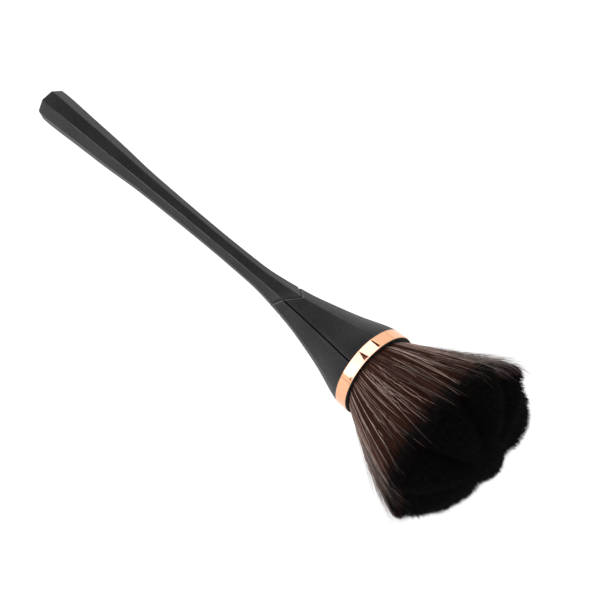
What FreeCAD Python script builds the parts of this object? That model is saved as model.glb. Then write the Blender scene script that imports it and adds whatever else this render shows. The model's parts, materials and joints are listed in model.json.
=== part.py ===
"""Neck duster brush lying at rest: slim-waisted octagonal handle, rose-gold ring, lobed bristle tuft.

The brush is drawn along +X, from the butt at x = 0 to the bristle tips, with its axis on y = z = 0.
Angles round the axis start at +Z and grow towards +Y. The finished brush is then pitched until the butt
and the lower petals of the tuft rest on z = 0, and is centred over the origin.
"""

import FreeCAD, Part

import math
import os

V = FreeCAD.Vector
ORIGIN = V(0, 0, 0)
AXIS = V(1, 0, 0)

# Lengths along the axis, from the butt face (mm).
TOTAL_LENGTH = 180.0
RING_BACK = 136.4
RING_WIDTH = 3.6
CUP_FLANGE = 0.3
CUP_BACK = 126.5
CUP_BASE = 1.0
GLUE_TOP = 131.5
THREAD_TOP = 134.7
RING_FRONT = RING_BACK + RING_WIDTH
MOUTH = RING_FRONT + CUP_FLANGE

# Octagonal handle: corner radius of the section at stations along the axis.
HANDLE_OUTLINE = [
    (0.8, 5.24),
    (12.0, 5.04),
    (24.0, 4.60),
    (36.0, 4.02),
    (46.0, 3.50),
    (58.0, 3.25),
    (76.0, 3.07),
    (89.0, 3.20),
    (98.0, 3.69),
    (103.0, 4.34),
    (108.0, 5.10),
    (115.0, 6.52),
    (123.0, 8.47),
    (130.0, 10.55),
    (RING_BACK, 12.28),
]
FACETS = 8
FACET_ANGLE = 360.0 / FACETS
ROLL = 13.1
EDGE_ROUND = 0.45
BUTT_BEVEL = [(0.0, 0.86), (0.25, 0.95), (0.8, 1.0)]
SWELL_START = 100.0
SWELL_POWER = 1.3

# Zigzag seam between stem and bell: height on each corner of the octagon, repeated after half a turn.
SEAM_HEIGHTS = [106.2, 110.3, 106.2, 103.6]
SEAM_CENTRE = 106.2
STEM_CHAMFER_APEX = 117.0
STEM_CHAMFER_INSET = 0.5
BELL_CHAMFER_APEX = 102.6
BELL_CHAMFER_INSET = 0.32

# Glued spigot of the stem in the bell's socket.
SPIGOT_BACK = 96.0
SPIGOT_RADIUS = 2.3
SPIGOT_END = 117.0
SPIGOT_TIP_CHAMFER = 0.5
GLUE_FILM = 0.2
GLUE_FILM_BACK = 111.0
SOCKET_END = 118.0

# Bell cavity behind the cup, and mould parting lines outside.
BELL_CAVITY_BACK = 120.0
BELL_CAVITY_BACK_RADIUS = 5.6
PARTING_WIDTH = 0.36
PARTING_DEPTH = 0.6
PARTING_ANGLES = [ROLL - FACET_ANGLE, ROLL - FACET_ANGLE + 180.0]

# Ring and bristle cup.
RING_RADIUS = 12.4
RING_BORE = 11.4
RING_EDGE_ROUND = 0.22
FIT_GAP = 0.02
CUP_RADIUS = RING_BORE - FIT_GAP
CUP_BACK_RADIUS = 8.2
CUP_WALL = 0.4
CUP_EDGE = CUP_FLANGE / 3
FLANGE_RADIUS = 12.3

# Tuft: radius at the bound root, at the mouth of the cup, at the rim of the tips, and in the notches there.
ROOT_RADIUS = 8.1
EXIT_RADIUS = 10.85
TIP_RADIUS = 24.1
NOTCH_RADIUS = 22.1
RIM = 168.6
SIDE_SWELL = 1.15
FLARE_STEPS = 4
CORE_ROOT_RADIUS = 3.4
CORE_TIP_RADIUS = 11.0
NOTCH_ANGLES = [3, 42, 90, 130, 181, 230, 274, 318]
BUNDLE_GAP = 0.06
THREAD_TURNS = 6

# A size beyond everything, for cutting bodies, and rounds of settling on the ground.
FAR = 30.0
SETTLING_ROUNDS = 4


def at(x, radius, angle):
    """The point at a distance along the axis, a radius and an angle in degrees."""
    turn = math.radians(angle)
    return V(x, radius * math.sin(turn), radius * math.cos(turn))


def between(points, x):
    """Value at x on a list of (x, value) points joined by straight lines."""
    for (x0, v0), (x1, v1) in zip(points, points[1:]):
        if x <= x1:
            return v0 + (v1 - v0) * (x - x0) / (x1 - x0)
    return points[-1][1]


def corner_angles():
    """Angle of each corner of the octagon, the first one a facet below the roll angle."""
    return [ROLL + FACET_ANGLE * (k - 1) for k in range(FACETS)]


def turned(profile):
    """Solid of revolution about the axis from (x, radius) points."""
    points = [V(x, 0, radius) for x, radius in profile]
    face = Part.Face(Part.makePolygon(points + points[:1]))
    return face.revolve(ORIGIN, AXIS, 360).Solids[0]


def bowed_edge(start, middle, end):
    """A shallow parabola through three points, which may be in line."""
    curve = Part.BezierCurve()
    curve.setPoles([start, middle * 2.0 - (start + end) * 0.5, end])
    return curve.toShape()


def handle_section(x, corner_radius):
    """Octagon with softly rounded corners, which swells into a circle towards the ring."""
    half = math.radians(FACET_ANGLE / 2)
    tangent = EDGE_ROUND * math.tan(half)
    along, across = corner_radius - tangent * math.sin(half), tangent * math.cos(half)
    corner_half = math.degrees(math.atan2(across, along))
    crown = corner_radius - EDGE_ROUND * (1 / math.cos(half) - 1)
    swell = max(0.0, (x - SWELL_START) / (RING_BACK - SWELL_START)) ** SWELL_POWER

    def swollen(radius):
        return radius + (corner_radius - radius) * swell

    side, flat = swollen(math.hypot(along, across)), swollen(corner_radius * math.cos(half))
    edges = []
    for angle in corner_angles():
        before = at(x, side, angle - corner_half)
        after = at(x, side, angle + corner_half)
        following = at(x, side, angle + FACET_ANGLE - corner_half)
        edges.append(bowed_edge(before, at(x, swollen(crown), angle), after))
        edges.append(bowed_edge(after, at(x, flat, angle + FACET_ANGLE / 2), following))
    return Part.Wire(edges)


def handle_body():
    """The whole outer form of the handle, from the bevelled butt to the ring."""
    first_radius = HANDLE_OUTLINE[0][1]
    butt = Part.makeLoft([handle_section(x, first_radius * scale) for x, scale in BUTT_BEVEL], True, True)
    length = Part.makeLoft([handle_section(x, radius) for x, radius in HANDLE_OUTLINE], True, False)
    return butt.fuse(length).removeSplitter().Solids[0]


def polyhedron(faces):
    """Solid bounded by flat faces, each a list of corner points."""
    shell = Part.Shell([Part.Face(Part.makePolygon(points + points[:1])) for points in faces])
    solid = Part.Solid(shell)
    return solid if solid.Volume > 0 else solid.reversed()


def seam_side(apex_x, inset, base_x):
    """All space from base_x to a fan of triangles with its apex on the axis and the seam line on its rim.

    The seam line is first moved in from the octagon's corners by inset.
    """
    rim = []
    for angle, height in zip(corner_angles(), SEAM_HEIGHTS * 2):
        radius = between(HANDLE_OUTLINE, height) - inset
        rim.append(at(apex_x + (height - apex_x) * FAR / radius, FAR, angle))
    base = [V(base_x, point.y, point.z) for point in rim]
    faces = [base]
    for k in range(FACETS):
        following = (k + 1) % FACETS
        faces.append([V(apex_x, 0, 0), rim[k], rim[following]])
        faces.append([rim[k], rim[following], base[following], base[k]])
    return polyhedron(faces)


def stem(body):
    """Octagonal stem, its seam end chamfered, with the round spigot that is glued into the bell."""
    below = seam_side(SEAM_CENTRE, 0.0, -4 * FAR)
    chamfer = seam_side(STEM_CHAMFER_APEX, STEM_CHAMFER_INSET, -4 * FAR)
    spigot = turned([
        (SPIGOT_BACK, 0),
        (SPIGOT_BACK, SPIGOT_RADIUS),
        (SPIGOT_END - SPIGOT_TIP_CHAMFER, SPIGOT_RADIUS),
        (SPIGOT_END, SPIGOT_RADIUS - SPIGOT_TIP_CHAMFER),
        (SPIGOT_END, 0),
    ])
    return body.common(below).common(chamfer).fuse(spigot).removeSplitter().Solids[0]


def parting_groove(angle):
    """Thin blade that follows the bell's outline, to cut one mould parting line."""
    stations = [(x, radius) for x, radius in HANDLE_OUTLINE if x > SWELL_START]
    floor = [at(x, radius - PARTING_DEPTH, angle) for x, radius in stations]
    curve = Part.BSplineCurve()
    curve.interpolate(floor)
    top = [at(stations[-1][0], FAR, angle), at(stations[0][0], FAR, angle)]
    sides = [Part.makeLine(floor[-1], top[0]), Part.makeLine(*top), Part.makeLine(top[1], floor[0])]
    across = at(0, PARTING_WIDTH, angle + 90)
    face = Part.Face(Part.Wire([curve.toShape()] + sides))
    return face.translated(across * -0.5).extrude(across)


def bell(body):
    """Hollow bell from the seam to the ring: socket behind, tapered seat for the cup in front."""
    above = seam_side(SEAM_CENTRE, 0.0, 6 * FAR)
    chamfer = seam_side(BELL_CHAMFER_APEX, BELL_CHAMFER_INSET, 6 * FAR)
    socket_radius = SPIGOT_RADIUS + GLUE_FILM
    cavity = turned([
        (0, 0),
        (0, socket_radius),
        (SOCKET_END, socket_radius),
        (BELL_CAVITY_BACK, BELL_CAVITY_BACK_RADIUS),
        (CUP_BACK, CUP_BACK_RADIUS + FIT_GAP),
        (RING_BACK, RING_BORE),
        (RING_BACK + FAR, RING_BORE),
        (RING_BACK + FAR, 0),
    ])
    shape = body.common(above).common(chamfer).cut(cavity)
    for angle in PARTING_ANGLES:
        shape = shape.cut(parting_groove(angle))
    return shape.Solids[0]


def seam_glue():
    """Film of glue round the spigot, from under the seam to the spigot's tip."""
    front = SPIGOT_END - SPIGOT_TIP_CHAMFER
    inner, outer = SPIGOT_RADIUS, SPIGOT_RADIUS + GLUE_FILM
    return turned([(GLUE_FILM_BACK, inner), (GLUE_FILM_BACK, outer), (front, outer), (front, inner)])


def ring():
    """Plain polished band with lightly rounded edges."""
    outer = Part.makeCylinder(RING_RADIUS, RING_WIDTH, V(RING_BACK, 0, 0), AXIS)
    rims = [edge for edge in outer.Edges if isinstance(edge.Curve, Part.Circle)]
    outer = outer.makeFillet(RING_EDGE_ROUND, rims)
    return outer.cut(Part.makeCylinder(RING_BORE, RING_WIDTH, V(RING_BACK, 0, 0), AXIS)).Solids[0]


def cup_inner(x):
    """Inner radius of the cup's tapered wall."""
    taper = (CUP_RADIUS - CUP_BACK_RADIUS) / (RING_BACK - CUP_BACK)
    return CUP_BACK_RADIUS + taper * (x - CUP_BACK) - CUP_WALL


def cup():
    """Black tapered cup that holds the bristles, with the thin flange that traps the ring."""
    bore = CUP_RADIUS - CUP_WALL
    floor = CUP_BACK + CUP_BASE
    return turned([
        (CUP_BACK, 0),
        (CUP_BACK, CUP_BACK_RADIUS),
        (RING_BACK, CUP_RADIUS),
        (RING_FRONT, CUP_RADIUS),
        (RING_FRONT, FLANGE_RADIUS),
        (MOUTH - CUP_EDGE, FLANGE_RADIUS),
        (MOUTH, FLANGE_RADIUS - CUP_EDGE),
        (MOUTH, bore + CUP_EDGE),
        (MOUTH - CUP_EDGE, bore),
        (RING_BACK, bore),
        (floor, cup_inner(floor)),
        (floor, 0),
    ])


def root_glue():
    """Plug of epoxy in the bottom of the cup, which holds the bristle roots."""
    back = CUP_BACK + CUP_BASE
    return turned([(back, 0), (back, cup_inner(back)), (GLUE_TOP, cup_inner(GLUE_TOP)), (GLUE_TOP, 0)])


def binding_thread():
    """Turns of thread wound tightly round the bristle roots."""
    pitch = (THREAD_TOP - GLUE_TOP) / THREAD_TURNS
    inner = ROOT_RADIUS + BUNDLE_GAP
    hollow = inner + pitch / 2
    edges = []
    for turn in range(THREAD_TURNS):
        back = GLUE_TOP + turn * pitch
        crown = V(back + pitch / 2, 0, hollow + pitch / 2)
        edges.append(Part.Arc(V(back, 0, hollow), crown, V(back + pitch, 0, hollow)).toShape())
    around = [(THREAD_TOP, hollow), (THREAD_TOP, inner), (GLUE_TOP, inner), (GLUE_TOP, hollow)]
    corners = [V(x, 0, radius) for x, radius in around]
    edges += [Part.makeLine(a, b) for a, b in zip(corners, corners[1:])]
    return Part.Face(Part.Wire(edges)).revolve(ORIGIN, AXIS, 360).Solids[0]


def tuft_radius(x, rim_radius):
    """Radius of the flared tuft, slightly swollen between the cup's mouth and the rim."""
    t = (x - MOUTH) / (RIM - MOUTH)
    return EXIT_RADIUS + (rim_radius - EXIT_RADIUS) * t + 4 * SIDE_SWELL * t * (1 - t)


def core_radius(x):
    """Radius of the middle of the tuft, which widens evenly."""
    return between([(GLUE_TOP, CORE_ROOT_RADIUS), (TOTAL_LENGTH, CORE_TIP_RADIUS)], x)


def bundle_sections():
    """The tuft's (x, notch radius, crest radius) from the glue to beyond the tips."""
    sections = [(GLUE_TOP, ROOT_RADIUS, ROOT_RADIUS), (THREAD_TOP, ROOT_RADIUS, ROOT_RADIUS)]
    flare = [MOUTH + (RIM - MOUTH) * k / FLARE_STEPS for k in range(FLARE_STEPS + 1)]
    for x in flare + [TOTAL_LENGTH]:
        sections.append((x, tuft_radius(x, NOTCH_RADIUS), tuft_radius(x, TIP_RADIUS)))
    return sections


def petal(first_notch, last_notch, dome):
    """One lobe of the tuft: a wedge between two notches, from the glue to the domed tip."""
    wires = []
    middle = (first_notch + last_notch) / 2
    for x, notch, crest in bundle_sections():
        inner = core_radius(x) + BUNDLE_GAP
        inner_half = middle - first_notch - math.degrees(BUNDLE_GAP / inner)
        outer_half = middle - first_notch - math.degrees(BUNDLE_GAP / notch)
        a, b = at(x, inner, middle - inner_half), at(x, inner, middle + inner_half)
        c, d = at(x, notch, middle + outer_half), at(x, notch, middle - outer_half)
        wires.append(Part.Wire([
            Part.Arc(a, at(x, inner, middle), b).toShape(),
            Part.makeLine(b, c),
            Part.Arc(c, at(x, crest, middle), d).toShape(),
            Part.makeLine(d, a),
        ]))
    return Part.makeLoft(wires, True, True).common(dome).Solids[0]


def tuft_core(dome):
    """Dense middle of the tuft."""
    ends = [(x, core_radius(x)) for x in (GLUE_TOP, TOTAL_LENGTH)]
    return turned([(GLUE_TOP, 0)] + ends + [(TOTAL_LENGTH, 0)]).common(dome).Solids[0]


def tuft():
    """The core and its petals, cut to one domed end."""
    rise = TOTAL_LENGTH - RIM
    sphere_radius = (TIP_RADIUS ** 2 + rise ** 2) / (2 * rise)
    dome = Part.makeSphere(sphere_radius, V(TOTAL_LENGTH - sphere_radius, 0, 0))
    dome = dome.fuse(Part.makeCylinder(TIP_RADIUS + 1, RIM, ORIGIN, AXIS)).removeSplitter()
    pieces = {"tuft_core": tuft_core(dome)}
    following = NOTCH_ANGLES[1:] + [NOTCH_ANGLES[0] + 360]
    for number, (first, last) in enumerate(zip(NOTCH_ANGLES, following), 1):
        pieces[f"tuft_petal_{number}"] = petal(first, last, dome)
    return pieces


def pitched(shape, pitch):
    """The shape with its axis raised by pitch degrees towards the bristles."""
    turn = FreeCAD.Rotation(V(0, 1, 0), -pitch)
    return shape.transformed(FreeCAD.Placement(ORIGIN, turn).toMatrix())


def resting_pitch(butt_end, tuft_end):
    """Pitch at which both ends reach equally low."""
    pitch = 0.0
    for _ in range(SETTLING_ROUNDS):
        heights = [pitched(shape, pitch).optimalBoundingBox().ZMin for shape in (butt_end, tuft_end)]
        pitch += math.degrees(math.asin((heights[0] - heights[1]) / RIM))
    return pitch


def main():
    body = handle_body()
    pieces = {
        "stem": stem(body),
        "bell": bell(body),
        "seam_glue": seam_glue(),
        "rose_gold_ring": ring(),
        "bristle_cup": cup(),
        "root_glue": root_glue(),
        "binding_thread": binding_thread(),
    }
    bristles = tuft()
    pitch = resting_pitch(pieces["stem"], Part.Compound(list(bristles.values())))
    pieces = {name: pitched(shape, pitch) for name, shape in {**pieces, **bristles}.items()}
    box = Part.Compound(list(pieces.values())).optimalBoundingBox()
    shift = V(-(box.XMin + box.XMax) / 2, -(box.YMin + box.YMax) / 2, -box.ZMin)
    print(f"pitch {pitch:.3f}, shift {shift.x:.3f} {shift.y:.3f} {shift.z:.3f}")

    os.makedirs("parts", exist_ok=True)
    for name, shape in pieces.items():
        shape.translated(shift).exportStep(f"parts/{name}.step")
        print(f"{name}: valid {shape.isValid()}, {len(shape.Solids)} solid, {shape.Volume:.1f} mm3")


main()
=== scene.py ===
"""Looks of the neck duster brush: moulded black handle, polished rose-gold ring and a tuft of dyed bristles.

Lengths of the tuft are in millimetres along the brush's own axis, from the butt, and place() makes them
metres.
"""

import json
import math

import bpy
import numpy as np
from mathutils import Matrix, Vector


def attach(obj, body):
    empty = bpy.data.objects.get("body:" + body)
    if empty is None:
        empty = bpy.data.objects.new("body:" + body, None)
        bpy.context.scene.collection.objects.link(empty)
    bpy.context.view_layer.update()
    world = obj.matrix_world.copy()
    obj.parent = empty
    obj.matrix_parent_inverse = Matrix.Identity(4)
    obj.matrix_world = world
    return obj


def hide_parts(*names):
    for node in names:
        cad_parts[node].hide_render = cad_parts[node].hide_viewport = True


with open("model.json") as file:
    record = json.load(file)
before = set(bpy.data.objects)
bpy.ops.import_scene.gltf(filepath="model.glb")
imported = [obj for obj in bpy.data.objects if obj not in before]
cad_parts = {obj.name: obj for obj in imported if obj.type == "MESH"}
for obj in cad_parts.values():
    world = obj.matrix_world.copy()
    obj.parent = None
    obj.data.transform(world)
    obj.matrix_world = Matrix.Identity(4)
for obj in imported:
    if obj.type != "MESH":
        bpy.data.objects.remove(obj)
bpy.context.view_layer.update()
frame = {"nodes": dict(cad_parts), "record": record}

MM = 0.001
RNG = np.random.default_rng(20261116)

# ---------------------------------------------------------------- the brush's own axes
mounts = {mount["name"]: mount for mount in frame["record"]["mounts"]}
BUTT = np.array(mounts["butt_face"]["pos_m"])
ALONG = -np.array(mounts["butt_face"]["axis"])
ACROSS = np.array([0.0, 1.0, 0.0])
UPWARD = np.cross(ALONG, ACROSS)

# Places along the axis: the roots' glue and thread, the cup's mouth, the rim and the top of the tuft.
GLUE_TOP = 131.5
THREAD_TOP = 134.7
MOUTH = 140.3
RIM = 168.6
APEX = 180.0

# Radii of the tuft. Its rim is a little larger, and its notches deeper, than the CAD petals have them.
ROOT_RADIUS = 8.0
EXIT_RADIUS = 10.85
TIP_RADIUS = 24.9
NOTCH_RADIUS = 21.0
SIDE_SWELL = 1.15

# Degrees round the axis of the notches between the petals, the first one again at the end.
NOTCH_ANGLES = np.array([3, 42, 90, 130, 181, 230, 274, 318, 363], float)
PETALS = len(NOTCH_ANGLES) - 1

# How far each petal's end rises and its rim swells.
LOBE_RISE = np.array([0.2, -0.1, 1.0, 0.5, 0.2, -0.2, 0.3, 0.1])
LOBE_SWELL = np.array([-0.3, -0.6, 0.8, 0.3, 0.3, 0.1, 0.2, 0.0])

# A cleft in the end of one petal, a side that lies over the cup's edge, and a side without swell.
CLEFT_ANGLE, CLEFT_WIDTH, CLEFT_DEPTH = 206.0, 7.0, 1.4
OVERHANG_ANGLE, OVERHANG, OVERHANG_RAMP = -23.0, 1.35, 0.3
FLAT_SIDE_ANGLE = 65.0

# The tuft's end: how far the dome's edge is above the rim, and its middle below the apex.
DOME_EDGE, DOME_SINK = 2.4, 0.6

# Valleys lead from the notches up over the end, and its edge is rounded over. Both start at a share of the
# rim's radius.
VALLEY_DEPTH, VALLEY_START, VALLEY_RAMP = 3.2, 0.18, 0.42
ROUNDING, ROUNDING_START = 2.8, 0.78

# The dye line comes later on both sides of the overhang, most a quarter turn from it.
DYE_DELAY, DYE_DELAY_START, DYE_DELAY_RAMP = 3.0, 150, 10

# Share of the rim's radius that the middle of the tuft takes up.
CORE_FRACTION = 0.42

# Lowest place of a bristle, in metres: just over the surface that the brush lies on.
GROUND = 0.0001


def place(x, radius, angle):
    """World points, in metres, from millimetres along the axis and out from it, and degrees round it."""
    turn = np.radians(angle)
    x, radius, turn = np.broadcast_arrays(x, radius, turn)
    points = BUTT + MM * (
        x[..., None] * ALONG
        + (radius * np.sin(turn))[..., None] * ACROSS
        + (radius * np.cos(turn))[..., None] * UPWARD
    )
    points[..., 2] = np.maximum(points[..., 2], GROUND)
    return points


def petal_place(angle):
    """The petal's number from 0, and where in it an angle lies, from -1 at one notch to 1 at the next."""
    angle = (np.asarray(angle, float) - NOTCH_ANGLES[0]) % 360 + NOTCH_ANGLES[0]
    number = np.clip(np.searchsorted(NOTCH_ANGLES, angle, side="right") - 1, 0, PETALS - 1)
    low, high = NOTCH_ANGLES[number], NOTCH_ANGLES[number + 1]
    return number, (2 * angle - low - high) / (high - low)


def lobe(offset, power):
    """1 in the middle of a petal and 0 in its notches."""
    return np.clip(1 - offset ** 2, 0, 1) ** power


def facing(angle, side):
    """1 on one side of the tuft, falling to 0 a quarter turn from it."""
    return np.clip(np.cos(np.radians(angle - side)), 0, 1) ** 2


def tuft_radius(x, angle):
    """Outer radius of the tuft: round at the mouth, lobed at the rim."""
    number, offset = petal_place(angle)
    t = np.clip((x - MOUTH) / (RIM - MOUTH), 0, 1.3)
    below_rim = 1 - np.clip(t, 0, 1)
    rim = TIP_RADIUS + LOBE_SWELL[number]
    notch = (rim - NOTCH_RADIUS) * (1 - lobe(offset, 1.0)) * t ** 1.7
    swell = SIDE_SWELL * (1 - facing(angle, FLAT_SIDE_ANGLE))
    flare = EXIT_RADIUS + (rim - EXIT_RADIUS) * t - notch + 4 * swell * t * below_rim
    in_cup = np.clip((x - THREAD_TOP) / (MOUTH - THREAD_TOP), 0, 1)
    root = ROOT_RADIUS + (EXIT_RADIUS - ROOT_RADIUS) * in_cup
    past_mouth = np.clip((x - MOUTH) / OVERHANG_RAMP, 0, 1)
    flare = flare + OVERHANG * facing(angle, OVERHANG_ANGLE) * past_mouth * below_rim ** 2
    return np.where(x < MOUTH, root, flare)


def tip_height(fraction, angle):
    """Where along the axis the bristles end, at a fraction of the rim's radius and an angle."""
    number, offset = petal_place(angle)
    outer = np.clip((fraction - VALLEY_START) / VALLEY_RAMP, 0, 1)
    outer = outer * outer * (3 - 2 * outer)
    dome = RIM + DOME_EDGE + (APEX - RIM - DOME_EDGE - DOME_SINK) * (1 - fraction ** 2)
    cleft = CLEFT_DEPTH * np.exp(-(((np.asarray(angle) - CLEFT_ANGLE) / CLEFT_WIDTH) ** 2))
    valley = (VALLEY_DEPTH * (1 - lobe(offset, 0.8)) + cleft) * outer
    rounding = ROUNDING * np.clip((fraction - ROUNDING_START) / (1 - ROUNDING_START), 0, 1) ** 2
    return dome - valley - rounding + LOBE_RISE[number] * outer


# ---------------------------------------------------------------- meshes
def link(name, mesh, material):
    """A piece of the brush from a mesh, with its material, attached to the root body."""
    piece = bpy.data.objects.new(name, mesh)
    bpy.context.scene.collection.objects.link(piece)
    mesh.materials.append(material)
    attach(piece, "root")
    return piece


def mesh_from(name, points, quads, triangles):
    """A smooth mesh from arrays of points and of corner numbers."""
    mesh = bpy.data.meshes.new(name)
    mesh.vertices.add(len(points))
    mesh.vertices.foreach_set("co", points.astype(np.float32).ravel())
    corners = np.concatenate([quads.ravel(), triangles.ravel()])
    mesh.loops.add(len(corners))
    mesh.loops.foreach_set("vertex_index", corners.astype(np.int32))
    starts = np.concatenate([
        np.arange(len(quads)) * 4,
        len(quads) * 4 + np.arange(len(triangles)) * 3,
    ])
    mesh.polygons.add(len(starts))
    mesh.polygons.foreach_set("loop_start", starts.astype(np.int32))
    mesh.update(calc_edges=True)
    mesh.polygons.foreach_set("use_smooth", np.ones(len(starts), bool))
    return mesh


def keep(mesh, name, values):
    """Stores one number per vertex for the material."""
    mesh.attributes.new(name, "FLOAT", "POINT").data.foreach_set("value", values.astype(np.float32).ravel())


def strands(name, x, radius, angle, thickness, tone, material):
    """Closed three-sided hairs. x, radius, angle and thickness are (hairs, stations) in mm and degrees.

    The material reads "along", the place on the axis less the delay of the dye, and "tone", one per hair.
    """
    centres = place(x, radius, angle)
    hairs, stations, _ = centres.shape
    tangent = np.gradient(centres, axis=1)
    tangent /= np.linalg.norm(tangent, axis=2, keepdims=True)
    turn = np.radians(angle)
    outward = np.sin(turn)[..., None] * ACROSS + np.cos(turn)[..., None] * UPWARD
    side = np.cross(tangent, outward)
    side /= np.linalg.norm(side, axis=2, keepdims=True)
    front = np.cross(side, tangent)
    spin = RNG.uniform(0, 2 * math.pi, (hairs, 1, 1))
    corners = []
    for corner in range(3):
        a = spin + corner * 2 * math.pi / 3
        corners.append(centres + MM * thickness[..., None] * (np.cos(a) * side + np.sin(a) * front))
    points = np.stack(corners, 2).reshape(-1, 3)
    index = np.arange(hairs * stations * 3).reshape(hairs, stations, 3)
    following = np.roll(index, -1, axis=2)
    quads = np.stack([index[:, :-1], following[:, :-1], following[:, 1:], index[:, 1:]], -1).reshape(-1, 4)
    ends = np.concatenate([index[:, 0, ::-1], index[:, -1, :]])
    mesh = mesh_from(name, points, quads, ends)
    reached = np.clip((x - DYE_DELAY_START) / DYE_DELAY_RAMP, 0, 1)
    late = DYE_DELAY * np.sin(turn - math.radians(OVERHANG_ANGLE)) ** 2 * reached
    keep(mesh, "along", np.repeat((x - late).ravel(), 3))
    keep(mesh, "tone", np.repeat(np.repeat(tone, stations), 3))
    return link(name, mesh, material)


# ---------------------------------------------------------------- materials
def principled(name, **values):
    """A new material, its node tree and its shader; values are set on the shader's sockets by name."""
    material = bpy.data.materials.new(name)
    material.use_nodes = True
    tree = material.node_tree
    shader = tree.nodes["Principled BSDF"]
    for socket, value in values.items():
        shader.inputs[socket.replace("_", " ")].default_value = value
    return material, tree, shader


def add(tree, kind, settings=None, **inputs):
    """A new node; inputs are values or other nodes' output sockets, by socket name or number."""
    node = tree.nodes.new(kind)
    for key, value in (settings or {}).items():
        setattr(node, key, value)
    for key, value in inputs.items():
        socket = node.inputs[int(key[1:]) if key[0] == "_" else key.replace("_", " ")]
        if isinstance(value, bpy.types.NodeSocket):
            tree.links.new(value, socket)
        else:
            socket.default_value = value
    return node


def ramp(tree, factor, stops):
    """A colour ramp from (position, colour) stops."""
    node = add(tree, "ShaderNodeValToRGB", _0=factor)
    elements = node.color_ramp.elements
    while len(elements) < len(stops):
        elements.new(0.5)
    for element, (position, colour) in zip(elements, stops):
        element.position = position
        element.color = (*colour, 1)
    return node.outputs["Color"]


def maths(tree, operation, a, b=0.0):
    """The result of one arithmetic operation on one or two values or sockets."""
    return add(tree, "ShaderNodeMath", {"operation": operation}, _0=a, _1=b).outputs[0]


def mix(tree, factor, a, b, blend="MIX"):
    """Colour a turning into colour b, or into a blended with b, as factor goes from 0 to 1."""
    node = add(tree, "ShaderNodeMix", {"data_type": "RGBA", "blend_type": blend})
    for number, value in ((0, factor), (6, a), (7, b)):
        if isinstance(value, bpy.types.NodeSocket):
            tree.links.new(value, node.inputs[number])
        else:
            node.inputs[number].default_value = value if number == 0 else (*value, 1)
    return node.outputs[2]


def object_point(tree, scale=(1, 1, 1)):
    """Position on the object, in metres times scale."""
    source = add(tree, "ShaderNodeTexCoord").outputs["Object"]
    return add(tree, "ShaderNodeMapping", Vector=source, Scale=scale).outputs[0]


def noise(tree, point, scale, detail=2.0, roughness=0.5):
    """Cloudy noise from 0 to 1, with scale features to the metre."""
    node = add(tree, "ShaderNodeTexNoise", Vector=point, Scale=scale, Detail=detail, Roughness=roughness)
    return node.outputs["Fac"]


def bump(tree, height, distance, strength=1.0):
    """Normals of a surface that rises by distance metres where height is 1."""
    node = add(tree, "ShaderNodeBump", Height=height, Distance=distance, Strength=strength)
    return node.outputs["Normal"]


# The mould's parting line, as an angle round the axis: a painted highlight along the stem's edge there, and
# painted shade in a groove along the bell.
PARTING_ANGLE = math.radians(-31.9)
EDGE_HIGHLIGHT_START, EDGE_HIGHLIGHT_END, EDGE_HIGHLIGHT_FADE = 15.0, 100.0, 10
EDGE_HIGHLIGHT_MIDDLE, EDGE_HIGHLIGHT_HALF, EDGE_HIGHLIGHT_SOFT = -0.06, 0.06, 0.06
GROOVE_START, GROOVE_HALF, GROOVE_SOFT = 107.0, 0.19, 0.05

# The zigzag seam: its heights as shares of a span over half a turn, and the place and width of the painted
# highlight on the bell just beyond it.
SEAM_LOW, SEAM_SPAN = 103.0, 8.0
SEAM_SHAPE = [(0.0, 0.4), (0.25, 0.9125), (0.5, 0.4), (0.75, 0.075), (1.0, 0.4)]
SEAM_RIM, SEAM_RIM_HALF, SEAM_RIM_SOFT = 0.34, 0.12, 0.10

# Bristles: millimetres by which a strand's tone moves its dye line, and where the ring's shade ends.
TONE_SHIFT = 3.0
SHADE_START, SHADE_END, DEEPEST_SHADE = 139.5, 143.0, 0.35

# Colours of specks, wear, painted highlights, the groove's painted shade and the dyed ends.
SPECK_AND_HIGHLIGHT_GREY = (0.15, 0.15, 0.155)
WORN_GREY = (0.10, 0.10, 0.105)
SEAM_HIGHLIGHT_GREY = (0.22, 0.22, 0.225)
GROOVE_SHADE_BLACK = (0.0004, 0.0004, 0.0004)
DYED_BLACK = (0.0050, 0.0046, 0.0046)
BLACK, WHITE = (0, 0, 0), (1, 1, 1)


def from_axis(tree, direction):
    """Distance from the butt along a direction, in millimetres."""
    point = add(tree, "ShaderNodeTexCoord").outputs["Object"]
    start = add(tree, "ShaderNodeVectorMath", {"operation": "SUBTRACT"}, _0=point, _1=tuple(BUTT))
    dot = add(
        tree, "ShaderNodeVectorMath", {"operation": "DOT_PRODUCT"}, _0=start.outputs[0], _1=tuple(direction)
    )
    return maths(tree, "MULTIPLY", dot.outputs["Value"], 1 / MM)


def band(tree, value, middle, half, soft):
    """1 where value is within half of middle, falling softly to 0."""
    away = maths(tree, "ABSOLUTE", maths(tree, "SUBTRACT", value, middle))
    node = add(
        tree, "ShaderNodeMapRange", {"interpolation_type": "SMOOTHSTEP"}, Value=away, From_Min=half,
        From_Max=half + soft, To_Min=1.0, To_Max=0.0,
    )
    return node.outputs[0]


def past_seam(tree, off_line, along):
    """Distance beyond the zigzag seam between stem and bell, in millimetres along the axis."""
    in_plane = from_axis(tree, math.sin(PARTING_ANGLE) * ACROSS + math.cos(PARTING_ANGLE) * UPWARD)
    turn = maths(tree, "ARCTAN2", off_line, in_plane)
    half_turns = maths(tree, "FRACT", maths(tree, "ADD", maths(tree, "MULTIPLY", turn, 1 / math.pi), 2.0))
    height = ramp(tree, half_turns, [(position, (level, level, level)) for position, level in SEAM_SHAPE])
    seam = maths(tree, "ADD", maths(tree, "MULTIPLY", height, SEAM_SPAN), SEAM_LOW)
    return maths(tree, "SUBTRACT", along, seam)


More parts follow.
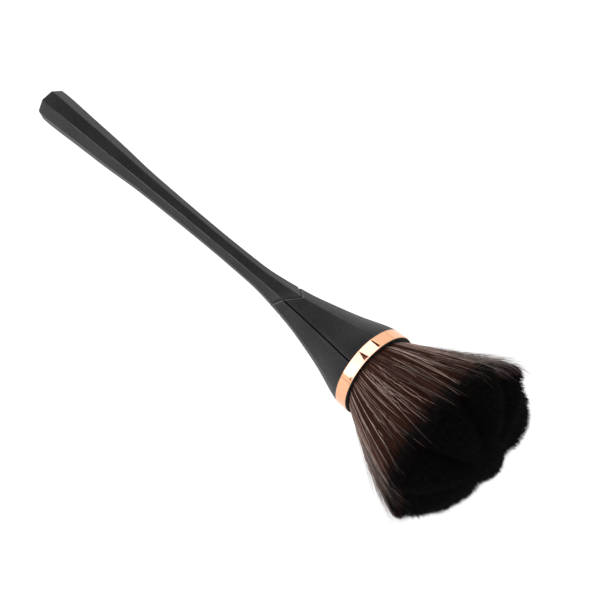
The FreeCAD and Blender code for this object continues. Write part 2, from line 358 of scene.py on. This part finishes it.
def moulded_plastic(name, low, high, roughness, grain, specular):
    """Fine-grained moulded plastic: clouding, specks and worn edges, with a painted highlight along the
    stem's parting line, painted shade in the bell's groove and a painted highlight past the seam.
    """
    material, tree, shader = principled(name, IOR=1.46)
    shader.inputs["Specular IOR Level"].default_value = specular
    point = object_point(tree)
    clouds = noise(tree, point, 90, 4)
    grains = noise(tree, point, grain, 3, 0.7)
    mottle = maths(tree, "MULTIPLY", maths(tree, "ADD", clouds, noise(tree, point, 1500, 2)), 0.5)
    colour = ramp(tree, mottle, [(0.38, low), (0.62, high)])
    speck = ramp(tree, noise(tree, point, grain * 1.3, 1), [(0.60, BLACK), (0.72, WHITE)])
    colour = mix(tree, maths(tree, "MULTIPLY", speck, 0.16), colour, SPECK_AND_HIGHLIGHT_GREY)
    edges = add(tree, "ShaderNodeNewGeometry").outputs["Pointiness"]
    worn = ramp(tree, edges, [(0.505, BLACK), (0.56, WHITE)])
    colour = mix(tree, maths(tree, "MULTIPLY", worn, 0.25), colour, WORN_GREY)
    off_line = from_axis(tree, math.cos(PARTING_ANGLE) * ACROSS - math.sin(PARTING_ANGLE) * UPWARD)
    along = from_axis(tree, ALONG)
    # Painted highlight: a pale, patchy line along the stem's parting edge, where the light catches that edge.
    on_stem = band(tree, along, (EDGE_HIGHLIGHT_END + EDGE_HIGHLIGHT_START) / 2, (EDGE_HIGHLIGHT_END - EDGE_HIGHLIGHT_START) / 2, EDGE_HIGHLIGHT_FADE)
    edge_highlight = maths(tree, "MULTIPLY", band(tree, off_line, EDGE_HIGHLIGHT_MIDDLE, EDGE_HIGHLIGHT_HALF, EDGE_HIGHLIGHT_SOFT), on_stem)
    patchy = ramp(tree, noise(tree, point, 260, 3), [(0.3, (0.25, 0.25, 0.25)), (0.6, WHITE)])
    patchy_edge_highlight = maths(tree, "MULTIPLY", edge_highlight, patchy)
    # Painted shade: the groove along the parting line on the bell is coloured almost black and made rough.
    on_bell = maths(tree, "GREATER_THAN", along, GROOVE_START)
    groove = maths(tree, "MULTIPLY", band(tree, off_line, 0.0, GROOVE_HALF, GROOVE_SOFT), on_bell)
    colour = mix(tree, maths(tree, "MULTIPLY", patchy_edge_highlight, 0.9), colour, SPECK_AND_HIGHLIGHT_GREY)
    colour = mix(tree, groove, colour, GROOVE_SHADE_BLACK)
    # Painted highlight: a patchy pale band on the bell just past the seam, where its chamfer faces the light.
    beyond = past_seam(tree, off_line, along)
    rim = maths(tree, "MULTIPLY", band(tree, beyond, SEAM_RIM, SEAM_RIM_HALF, SEAM_RIM_SOFT), patchy)
    colour = mix(tree, maths(tree, "MULTIPLY", rim, 0.9), colour, SEAM_HIGHLIGHT_GREY)
    tree.links.new(colour, shader.inputs["Base Color"])
    rough = maths(tree, "ADD", maths(tree, "MULTIPLY", grains, 0.20), roughness - 0.10)
    rough = maths(tree, "MAXIMUM", rough, groove)
    tree.links.new(rough, shader.inputs["Roughness"])
    tree.links.new(bump(tree, grains, 0.0001, 0.8), shader.inputs["Normal"])
    return material


def polished_metal(name):
    """Polished anodised aluminium in rose gold, with faint turning marks and hairline scratches."""
    material, tree, shader = principled(name, Metallic=1.0)
    point = object_point(tree)
    clouds = noise(tree, point, 120, 3)
    tint = ramp(tree, clouds, [(0.35, (0.84, 0.445, 0.262)), (0.65, (0.88, 0.475, 0.285))])
    tree.links.new(tint, shader.inputs["Base Color"])
    axial = add(tree, "ShaderNodeVectorMath", {"operation": "DOT_PRODUCT"}, _0=point, _1=tuple(ALONG))
    lines = add(tree, "ShaderNodeCombineXYZ", X=axial.outputs["Value"])
    turning = noise(tree, lines.outputs[0], 9000, 2)
    scratch = noise(tree, object_point(tree, (1, 1, 6)), 700, 5, 0.7)
    rough = ramp(tree, scratch, [(0.45, (0.025, 0.025, 0.025)), (0.75, (0.07, 0.07, 0.07))])
    tree.links.new(rough, shader.inputs["Roughness"])
    tree.links.new(bump(tree, turning, 0.000002, 0.5), shader.inputs["Normal"])
    return material


def bristle_material(name, roots, tips, start, end, specular, roughness):
    """Hair whose colour turns from roots to tips between start and end, and whose tone differs by strand."""
    material, tree, shader = principled(name, Roughness=roughness)
    shader.inputs["Specular IOR Level"].default_value = specular
    along = add(tree, "ShaderNodeAttribute", {"attribute_name": "along"}).outputs["Fac"]
    tone = add(tree, "ShaderNodeAttribute", {"attribute_name": "tone"}).outputs["Fac"]
    patches = noise(tree, object_point(tree), 220, 3)
    darker, lighter = roots
    mottle = maths(tree, "ADD", maths(tree, "MULTIPLY", tone, 0.75), maths(tree, "MULTIPLY", patches, 0.4))
    root = ramp(tree, mottle, [(0.15, darker), (0.95, lighter)])
    shift = maths(tree, "MULTIPLY", maths(tree, "SUBTRACT", tone, 0.5), TONE_SHIFT)
    dyed = add(
        tree, "ShaderNodeMapRange", Value=maths(tree, "ADD", along, shift), From_Min=start, From_Max=end
    ).outputs[0]
    fade = ramp(tree, dyed, [(0.0, BLACK), (0.45, (0.42, 0.42, 0.42)), (1.0, WHITE)])
    # Painted shade: each strand darkens towards the ring's mouth, down to DEEPEST_SHADE at SHADE_START.
    shade = add(
        tree, "ShaderNodeMapRange", Value=along, From_Min=SHADE_START, From_Max=SHADE_END,
        To_Min=DEEPEST_SHADE,
    ).outputs[0]
    shade_grey = add(tree, "ShaderNodeCombineColor", _0=shade, _1=shade, _2=shade).outputs[0]
    root = mix(tree, 1.0, root, shade_grey, "MULTIPLY")
    colour = mix(tree, fade, root, tips)
    tree.links.new(colour, shader.inputs["Base Color"])
    return material


handle_black = moulded_plastic(
    "moulded_black", (0.0085, 0.0085, 0.0088), (0.0205, 0.0205, 0.021), 0.50, 2600, 0.32
)
cup_black = moulded_plastic("cup_black", (0.003, 0.003, 0.003), (0.005, 0.005, 0.005), 0.65, 2600, 0.10)
rose_gold = polished_metal("rose_gold")
shaft_hair = bristle_material(
    "brown_bristle", ((0.026, 0.0100, 0.0072), (0.165, 0.068, 0.048)), DYED_BLACK, 161.2, 169.6, 0.02, 0.6
)
# Painted shade: the dense mass is coloured darker than the loose bristles, so the gaps between them read as
# shade.
mass_hair_painted_shade = bristle_material(
    "bristle_mass", ((0.012, 0.0040, 0.0028), (0.038, 0.013, 0.0085)), DYED_BLACK, 161.0, 168.0, 0.02, 0.85
)
tip_hair = bristle_material(
    "black_bristle", ((0.0095, 0.0088, 0.0092), (0.0230, 0.0205, 0.0210)), DYED_BLACK, 150.0, 200.0, 0.05, 0.8
)
# Painted highlights: these strand colours are far paler than the brown and stand in for light glinting off
# single hairs. The dim set is the same.
bright_highlight_hair = bristle_material(
    "bright_highlight_bristle", ((0.55, 0.35, 0.28), (1.0, 0.78, 0.69)), (0.05, 0.04, 0.037), 163.0, 175.0, 0.05, 0.4
)
dim_highlight_hair = bristle_material(
    "dim_highlight_bristle", ((0.20, 0.095, 0.070), (0.45, 0.28, 0.23)), (0.02, 0.013, 0.012), 162.0, 173.0, 0.05, 0.5
)
fly_hair = bristle_material(
    "fly_bristle", ((0.18, 0.115, 0.10), (0.52, 0.42, 0.38)), (0.16, 0.13, 0.125), 160.0, 178.0, 0.3, 0.4
)


def glue(name, low, high):
    """Clear cured glue with small bubbles."""
    material, tree, shader = principled(name, Roughness=0.25, IOR=1.5)
    shader.inputs["Coat Weight"].default_value = 0.4
    point = object_point(tree)
    bubbles = add(tree, "ShaderNodeTexVoronoi", Vector=point, Scale=1600).outputs["Distance"]
    tree.links.new(ramp(tree, bubbles, [(0.1, low), (0.5, high)]), shader.inputs["Base Color"])
    tree.links.new(bump(tree, noise(tree, point, 900), 0.00008), shader.inputs["Normal"])
    return material


def twisted_thread(name):
    """Cotton thread: slanted twist across the turns."""
    material, tree, shader = principled(name, Roughness=0.7)
    shader.inputs["Sheen Weight"].default_value = 0.3
    point = object_point(tree)
    slant = add(
        tree, "ShaderNodeTexWave", {"bands_direction": "DIAGONAL"}, Vector=point, Scale=900, Distortion=2.0
    ).outputs["Fac"]
    tint = ramp(tree, slant, [(0.2, (0.42, 0.39, 0.33)), (0.8, (0.75, 0.71, 0.64))])
    tree.links.new(tint, shader.inputs["Base Color"])
    tree.links.new(bump(tree, slant, 0.00005), shader.inputs["Normal"])
    return material


LOOKS = {
    "stem": handle_black,
    "bell": handle_black,
    "rose_gold_ring": rose_gold,
    "bristle_cup": cup_black,
    "seam_glue": glue("seam_glue_clear", (0.55, 0.50, 0.40), (0.66, 0.61, 0.50)),
    "root_glue": glue("root_glue_clear", (0.30, 0.24, 0.15), (0.45, 0.37, 0.25)),
    "binding_thread": twisted_thread("cotton_thread"),
}
for node, material in LOOKS.items():
    piece = frame["nodes"][node]
    for held in piece.material_slots:
        held.material = material


# ---------------------------------------------------------------- the dense mass under the loose bristles
MASS_COLUMNS = 1440

# Ridges round the mass: how many, and how high.
RIDGES = ((61, 0.10), (139, 0.10), (263, 0.08), (397, 0.06))

# How far the mass lies inside the bristles: at the mouth, as much more at the rim, and at their ends.
MASS_GAP, MASS_GAP_GROWTH, MASS_END_GAP = 0.45, 0.3, 1.3

# Share of the rim's radius where the mass turns from its side to its end.
MASS_EDGE = 0.985


def bristle_mass():
    """One closed body inside the tuft: fine ridges run up its side and over its end."""
    around = MASS_COLUMNS
    angles = np.arange(around) * 360 / around
    ridges = np.zeros(around)
    for waves, height in RIDGES:
        ridges += height * np.sin(np.radians(angles * waves) + RNG.uniform(0, 2 * math.pi))
    side = np.concatenate([[GLUE_TOP + 0.2, THREAD_TOP], np.linspace(MOUTH - 2, RIM - 3, 22)])
    rows_x, rows_radius = [], []
    for x in side:
        grown = np.clip((x - MOUTH) / (RIM - MOUTH), 0, 1)
        outer = tuft_radius(x, angles)
        rows_x.append(np.full(around, x))
        rows_radius.append(outer - MASS_GAP - MASS_GAP_GROWTH * grown + ridges * (0.4 + 0.9 * grown))
    last_x, last_radius = rows_x[-1], rows_radius[-1]
    fractions = np.concatenate([np.linspace(MASS_EDGE, 0.86, 8), np.linspace(0.82, 0.04, 26)])
    for fraction in fractions:
        top = tip_height(fraction, angles) - MASS_END_GAP + ridges * 0.8
        radius = fraction * tuft_radius(RIM, angles) - 0.5 * fraction
        blend = np.clip((MASS_EDGE - fraction) / 0.05, 0, 1)
        rows_x.append(last_x * (1 - blend) + top * blend)
        rows_radius.append(np.minimum(radius, last_radius + 1.2))
    x, radius = np.array(rows_x), np.array(rows_radius)
    rows = len(x)
    points = place(x, radius, angles[None, :]).reshape(-1, 3)
    caps = np.array([place(x[0, 0], 0.0, 0.0), place(x[-1].mean(), 0.0, 0.0)])
    points = np.concatenate([points, caps])
    index = np.arange(rows * around).reshape(rows, around)
    following = np.roll(index, -1, axis=1)
    quads = np.stack([index[:-1], index[1:], following[1:], following[:-1]], -1).reshape(-1, 4)
    back = np.stack([index[0], following[0], np.full(around, rows * around)], -1)
    front = np.stack([following[-1], index[-1], np.full(around, rows * around + 1)], -1)
    mesh = mesh_from("bristle_mass", points, quads, np.concatenate([back, front]))
    keep(mesh, "along", np.concatenate([x.ravel(), [x[0, 0], x[-1].mean()]]))
    # Painted shade: the tone follows the ridges, darker in their hollows, with random streaks on top.
    ridge_shade_streak = np.clip(0.5 + ridges * 1.6 + RNG.normal(0, 0.12, around), 0, 1)
    keep(mesh, "tone", np.concatenate([np.tile(ridge_shade_streak, rows), [0.5, 0.5]]))
    return link("bristle_mass", mesh, mass_hair_painted_shade)


# ---------------------------------------------------------------- loose bristles
# Share of a petal's width that bristles stand in, where the sides stop widening, and a tip's thickness as a
# share of its hair's.
PETAL_SHARE = 0.985
WIDEST = RIM + 4
TIP_SHARE = 0.12

# Where the long bristles start inside the cup, and how far past its mouth they have the tuft's own form.
SHAFT_START = 138.0
SHAFT_LIFT = 0.35

# How many there are on each petal, in the middle, and over the whole tuft.
SHAFTS, LOCKS = 1150, 36
SIDE_TIPS = 1000
PETAL_TIPS, CORE_TIPS = 3200, 2600
FLYAWAYS = 620

# Degrees round the axis of the two sides where most flyaways stand.
FLYAWAY_SIDES = (62.0, -108.0)

# Where the black ends over the sides start: earliest, most often and latest. Where the strands with painted
# highlights end.
SIDE_TIP_STARTS = (162.2, 168.2, 171.0)
HIGHLIGHT_ENDS = (150, 169)


def spread_through(number, count, inner, outer):
    """Angles and radius fractions of count bristles, evenly over a petal's area between two fractions."""
    offset = RNG.uniform(-PETAL_SHARE, PETAL_SHARE, count)
    low, high = NOTCH_ANGLES[number], NOTCH_ANGLES[number + 1]
    angle = (low + high) / 2 + offset * (high - low) / 2
    fraction = np.sqrt(RNG.uniform(inner ** 2, outer ** 2, count))
    return angle, fraction


def tapered(shares, thickness, start):
    """Hair radius at each share of its length: even, then tapering to a point from start."""
    taper = np.clip((1 - shares) / (1 - start), 0, 1) ** 0.8
    return thickness[:, None] * (TIP_SHARE + (1 - TIP_SHARE) * taper)


def outer_shafts(number):
    """Long bristles on the outside of one petal, drawn together into fine locks."""
    count, stations = SHAFTS, 12
    angle, fraction = spread_through(number, count, 0.90, 1.0)
    low, high = NOTCH_ANGLES[number], NOTCH_ANGLES[number + 1]
    locks = RNG.uniform(low, high, LOCKS)
    lock = np.argmin(np.abs(angle[:, None] - locks[None, :]), axis=1)
    nearest = locks[lock]
    tone = 0.3 * RNG.uniform(0, 1, LOCKS)[lock] + 0.7 * RNG.uniform(0, 1, count) ** 1.6
    end = tip_height(fraction, angle) + RNG.normal(0, 0.35, count) - 0.3
    shares = np.linspace(0, 1, stations - 2)[None, :]
    x = MOUTH + SHAFT_LIFT + (end[:, None] - MOUTH - SHAFT_LIFT) * shares
    x = np.concatenate([np.full((count, 1), SHAFT_START), np.full((count, 1), MOUTH), x], 1)
    shares = (x - SHAFT_START) / (end[:, None] - SHAFT_START)
    gather = 0.30 * np.sin(math.pi * np.clip(shares, 0, 1)) * RNG.uniform(0.2, 1, (count, 1))
    drift = RNG.normal(0, 0.9, (count, 1)) * shares
    wander = RNG.normal(0, 0.35, (count, stations)) * shares * (1 - shares) * 2
    turned = angle[:, None] + (nearest - angle)[:, None] * gather + drift + wander
    radius = fraction[:, None] * tuft_radius(np.minimum(x, WIDEST), np.clip(turned, low + 0.2, high - 0.2))
    radius += np.abs(RNG.normal(0, 0.12, (count, 1))) * shares
    thick = RNG.uniform(0.055, 0.085, count)
    width = tapered(shares, thick, 0.75)
    return strands(f"bristle_shafts_{number + 1}", x, radius, turned, width, tone, shaft_hair)


def soft_tips(name, angle, fraction, longest, tilt):
    """Short tips that make the furry end, fanned out a little at the rim."""
    count = len(angle)
    shares = np.linspace(0, 1, 4)[None, :]
    end = tip_height(fraction, angle) + RNG.normal(0, 0.38, count)
    length = RNG.uniform(0.35, 1.0, count) * longest
    x = end[:, None] - length[:, None] * (1 - shares)
    base = fraction * tuft_radius(RIM, angle)
    lean = RNG.normal(0, tilt, count)[:, None] * shares
    spin = RNG.normal(0, 0.35, count)[:, None] * shares * 24 / np.maximum(base, 4)[:, None]
    slope = 0.36 * fraction[:, None]
    radius = base[:, None] + slope * (x - np.minimum(end, RIM + 3)[:, None]) + lean
    thick = RNG.uniform(0.06, 0.085, count)
    tone = RNG.uniform(0, 1, count)
    width = tapered(shares, thick, 0.3)
    return strands(name, x, np.abs(radius), angle[:, None] + spin, width, tone, tip_hair)


def side_tips(number):
    """Black ends over the outside of one petal, whose different starts blur the dye line."""
    count, stations = SIDE_TIPS, 6
    angle, fraction = spread_through(number, count, 0.95, 1.005)
    shares = np.linspace(0, 1, stations)[None, :]
    end = tip_height(fraction, angle) + RNG.normal(0, 0.4, count)
    sideways = np.sin(np.radians(angle - OVERHANG_ANGLE))
    start = RNG.triangular(*SIDE_TIP_STARTS, count) + DYE_DELAY * sideways ** 2
    start = np.minimum(start, end - 1.5)
    x = start[:, None] + (end - start)[:, None] * shares
    turned = angle[:, None] + RNG.normal(0, 0.7, (count, 1)) * shares
    radius = fraction[:, None] * tuft_radius(np.minimum(x, WIDEST), turned)
    radius += np.abs(RNG.normal(0, 0.15, (count, 1))) * (0.3 + shares) - 0.12 * (1 - shares)
    thick = RNG.uniform(0.05, 0.075, count)[:, None] * np.sqrt(np.clip(shares * 6, 0.03, 1))
    taper = np.clip((1 - shares) / 0.5, 0, 1) ** 0.8
    width = thick * (TIP_SHARE + (1 - TIP_SHARE) * taper)
    tone = RNG.uniform(0, 1, count)
    return strands(f"black_sides_{number + 1}", x, radius, turned, width, tone, tip_hair)


def highlight_strands(name, angle, thickness, kinked_share, lift, material):
    """Single bristles at the given angles, coloured paler as painted highlights, lifted a little off the
    tuft, a share of them kinked.
    """
    stations = 22
    count = len(angle)
    fraction = RNG.uniform(0.985, 1.012, count)
    shares = np.linspace(0, 1, stations)[None, :]
    end = RNG.uniform(*HIGHLIGHT_ENDS, count)
    begin = np.where(RNG.uniform(0, 1, count) < 0.65, 139.0, RNG.uniform(140.5, 152, count))
    end = np.maximum(end, begin + 9)
    x = begin[:, None] + (end - begin)[:, None] * shares
    kinked = (RNG.uniform(0, 1, count) < kinked_share)[:, None]
    steps = np.cumsum(RNG.normal(0, 0.30, (count, stations)), axis=1)
    steps -= steps[:, :1]
    lean = RNG.normal(0, 1.8, (count, 1)) * shares
    bow = RNG.normal(0, 1.0, (count, 1)) * np.sin(math.pi * shares)
    turned = angle[:, None] + (lean + bow) + kinked * steps * 1.3
    radius = fraction[:, None] * tuft_radius(x, turned) + lift * np.clip((x - MOUTH) / 2, 0, 1)
    width = RNG.uniform(*thickness, count)
    taper = np.minimum(1, 6 * np.minimum(shares + 0.02, 1.02 - shares))
    tone = RNG.uniform(0, 1, count) ** 1.4
    return strands(name, x, radius, turned, width[:, None] * taper, tone, material)


def flyaways():
    """Fine loose bristles that stand off the tuft, most of them along two sides of it."""
    count, stations = FLYAWAYS, 14
    sides = np.where(RNG.uniform(0, 1, count) < 0.75, *FLYAWAY_SIDES)
    angle = np.where(RNG.uniform(0, 1, count) < 0.72, RNG.normal(sides, 15), RNG.uniform(0, 360, count))
    shares = np.linspace(0, 1, stations)[None, :]
    begin = RNG.uniform(139, 160, count)
    end = RNG.uniform(161, 173.5, count)
    x = begin[:, None] + (end - begin)[:, None] * shares
    stand = np.minimum(np.abs(RNG.normal(0, 1.5, (count, 1))) + 0.15, 3.6)
    turned = angle[:, None] + RNG.normal(0, 3.0, (count, 1)) * shares
    radius = tuft_radius(np.minimum(x, RIM), turned) + stand * shares ** 1.3
    thick = RNG.uniform(0.022, 0.045, count)
    tone = RNG.uniform(0, 1, count)
    return strands("flyaway_bristles", x, radius, turned, tapered(shares, thick, 0.5), tone, fly_hair)


mass = bristle_mass()
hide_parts("tuft_core")
for number in range(PETALS):
    shafts = outer_shafts(number)
    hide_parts(f"tuft_petal_{number + 1}")
    side_tips(number)
    angle, fraction = spread_through(number, PETAL_TIPS, CORE_FRACTION, 1.0)
    soft_tips(f"soft_tips_{number + 1}", angle, fraction, 5.0, 0.35)
angle = RNG.uniform(0, 360, CORE_TIPS)
fraction = np.sqrt(RNG.uniform(0, CORE_FRACTION ** 2, CORE_TIPS))
soft_tips("soft_tips_core", angle, fraction, 6.0, 0.3)
# Painted highlights: paler strands all round the tuft, and more near 46 degrees as painted rim light.
highlight_strands("painted_highlights_bright", RNG.uniform(0, 360, 120), (0.045, 0.068), 0.25, 0.20, bright_highlight_hair)
highlight_strands("painted_rim_light", RNG.normal(46, 15, 60), (0.040, 0.065), 0.15, 0.15, bright_highlight_hair)
highlight_strands("painted_highlights_dim", RNG.uniform(0, 360, 130), (0.040, 0.060), 0.25, 0.10, dim_highlight_hair)
flyaways()


# ---------------------------------------------------------------- floor, lights and camera
def area_light(name, position, target, size, size_y, power, colour=(1, 1, 1)):
    """A rectangular lamp that points at target and that the camera doesn't see."""
    data = bpy.data.lights.new(name, "AREA")
    data.shape, data.size, data.size_y, data.energy, data.color = "RECTANGLE", size, size_y, power, colour
    lamp = bpy.data.objects.new(name, data)
    bpy.context.scene.collection.objects.link(lamp)
    lamp.location = position
    lamp.rotation_mode = "QUATERNION"
    lamp.rotation_quaternion = (Vector(target) - Vector(position)).to_track_quat("-Z", "Y")
    lamp.visible_camera = False
    return lamp


FLOOR_HALF, FLOOR_HEIGHT = 4.0, -0.0002


def white_floor():
    """Large plain floor just under the brush, in metres."""
    corners = FLOOR_HALF * np.array([[-1.0, -1.0, 0.0], [1.0, -1.0, 0.0], [1.0, 1.0, 0.0], [-1.0, 1.0, 0.0]])
    corners[:, 2] = FLOOR_HEIGHT
    mesh = mesh_from("floor", corners, np.array([[0, 1, 2, 3]]), np.zeros((0, 3), int))
    material, _, shader = principled("floor_white", Roughness=0.9)
    shader.inputs["Base Color"].default_value = (0.5, 0.5, 0.5, 1)
    shader.inputs["Specular IOR Level"].default_value = 0.1
    shader.inputs["Emission Color"].default_value = (1, 1, 1, 1)
    shader.inputs["Emission Strength"].default_value = 0.92
    floor = bpy.data.objects.new("floor", mesh)
    mesh.materials.append(material)
    bpy.context.scene.collection.objects.link(floor)


def studio_world():
    """Light from all round: white near the horizon and on both sides, greyer overhead."""
    world = bpy.data.worlds.new("studio")
    bpy.context.scene.world = world
    world.use_nodes = True
    sky = world.node_tree
    direction = add(sky, "ShaderNodeTexCoord").outputs["Generated"]
    part = add(sky, "ShaderNodeSeparateXYZ", Vector=direction)
    beside = maths(sky, "MULTIPLY", maths(sky, "ABSOLUTE", part.outputs["Y"]), 0.8)
    height = maths(sky, "SUBTRACT", part.outputs["Z"], beside)
    tint = ramp(sky, height, [(0.16, WHITE), (0.42, (0.36, 0.36, 0.37)), (1.0, (0.28, 0.28, 0.29))])
    sky.links.new(tint, sky.nodes["Background"].inputs["Color"])
    sky.nodes["Background"].inputs["Strength"].default_value = 1.0


def lit_alone(name, node):
    """A collection of one CAD node, for lamps that light nothing else."""
    collection = bpy.data.collections.new(name)
    collection.objects.link(frame["nodes"][node])
    return collection


white_floor()
studio_world()

# Lamps beside the stem: direction from its middle, and power.
STEM_MIDDLE = place(55.0, 0.0, 0.0)
STEM_LAMP_DISTANCE = 0.35
STEM_LAMPS = {
    "stem_left": ((-0.354, -0.939, 0.10), 0.40),
    "stem_right": ((-0.354, 0.936, 0.04), 0.22),
}
stem_only = lit_alone("stem_only", "stem")
for name, (towards, power) in STEM_LAMPS.items():
    position = STEM_MIDDLE + STEM_LAMP_DISTANCE * np.array(towards)
    lamp = area_light(name, position, STEM_MIDDLE, 0.30, 0.25, power)
    lamp.light_linking.receiver_collection = stem_only

# Soft boxes that face the ring's middle from one plane; places in metres.
RING_MIDDLE = place(138.2, 0.0, 0.0)
RING_FACING = Vector((-0.475, 0.0, 0.88))
RING_REACH = 0.062
RING_BOX_LENGTH = 0.12
ring_only = lit_alone("ring_only", "rose_gold_ring")


def ring_box(name, first, last, radiance, colour=(1, 1, 1)):
    """A soft box that lights only the ring, from first to last metres sideways, square to RING_FACING."""
    width, length = last - first, RING_BOX_LENGTH
    centre = Vector(RING_MIDDLE) + RING_FACING * RING_REACH + Vector(ACROSS) * (first + last) / 2
    lamp = area_light(name, centre, RING_MIDDLE, width, length, radiance * width * length * math.pi, colour)
    basis = Matrix((ACROSS, RING_FACING.cross(ACROSS), RING_FACING)).transposed()
    lamp.rotation_quaternion = basis.to_quaternion()
    lamp.light_linking.receiver_collection = ring_only


ring_box("ring_box_wide", -0.125, 0.0315, 2.6, (0.86, 0.80, 1.0))
ring_box("ring_box_side", 0.0315, 0.040, 0.60)
ring_box("ring_box_far", 0.040, 0.200, 0.16)
ring_box("ring_box_low", -0.210, -0.125, 0.25)


def ring_card(name, corners, glow):
    """A small dark card, seen only as a mark in the polished ring.

    Its four corners are millimetres along, across and up from the ring's middle.
    """
    along, across, upward = np.array(corners, float).T[..., None]
    points = RING_MIDDLE + MM * (along * ALONG + across * ACROSS + upward * UPWARD)
    mesh = mesh_from(name, points, np.array([[0, 1, 2, 3]]), np.zeros((0, 3), int))
    material, _, shader = principled(f"{name}_matt", Roughness=1.0, Emission_Strength=1.0)
    shader.inputs["Base Color"].default_value = (0, 0, 0, 1)
    shader.inputs["Emission Color"].default_value = (glow, glow * 0.6, glow * 0.5, 1)
    mesh.materials.append(material)
    card = bpy.data.objects.new(name, mesh)
    bpy.context.scene.collection.objects.link(card)
    card.visible_camera = card.visible_diffuse = False


ring_card(
    "card_wedge",
    [(-19.45, -8.8, 52.9), (-16.1, -16.96, 51.05), (-15.88, -3.29, 53.54), (-19.45, -8.4, 52.9)],
    0.06,
)
ring_card(
    "card_line",
    [(-19.33, 23.23, 47.17), (-19.32, 25.65, 45.73), (-16.23, 28.34, 44.06), (-16.18, 22.7, 47.6)],
    0.03,
)
ring_card(
    "card_spot",
    [(-16.68, -46.66, 25.26), (-16.1, -46.43, 25.78), (-16.14, -49.95, 16.73), (-16.63, -49.67, 17.63)],
    0.10,
)

# The camera's direction from the origin, its place in metres, and its lens in pixels and millimetres.
AZIMUTH, ELEVATION, ROLL = math.radians(45.7918), math.radians(60.2932), math.radians(0.3507)
DISTANCE, ASIDE, ABOVE = 0.42533, 0.0140775, -0.0014360
FOCAL_PIXELS, FRAME_PIXELS, SENSOR = 1482.26, 600, 36

back = Vector((
    math.sin(AZIMUTH) * math.cos(ELEVATION), -math.cos(AZIMUTH) * math.cos(ELEVATION), math.sin(ELEVATION)
))
level = Vector((math.cos(AZIMUTH), math.sin(AZIMUTH), 0))
over = back.cross(level)
right = level * math.cos(ROLL) + over * math.sin(ROLL)
above = over * math.cos(ROLL) - level * math.sin(ROLL)
lens = bpy.data.cameras.new("camera")
lens.sensor_width = SENSOR
lens.lens = FOCAL_PIXELS / FRAME_PIXELS * SENSOR
lens.clip_start, lens.clip_end = 0.01, 20
camera = bpy.data.objects.new("camera", lens)
bpy.context.scene.collection.objects.link(camera)
camera.matrix_world = Matrix.Translation(back * DISTANCE + right * ASIDE + above * ABOVE) @ Matrix(
    (right, above, back)
).transposed().to_4x4()
bpy.context.scene.camera = camera
bpy.context.scene.view_settings.view_transform = "Standard"
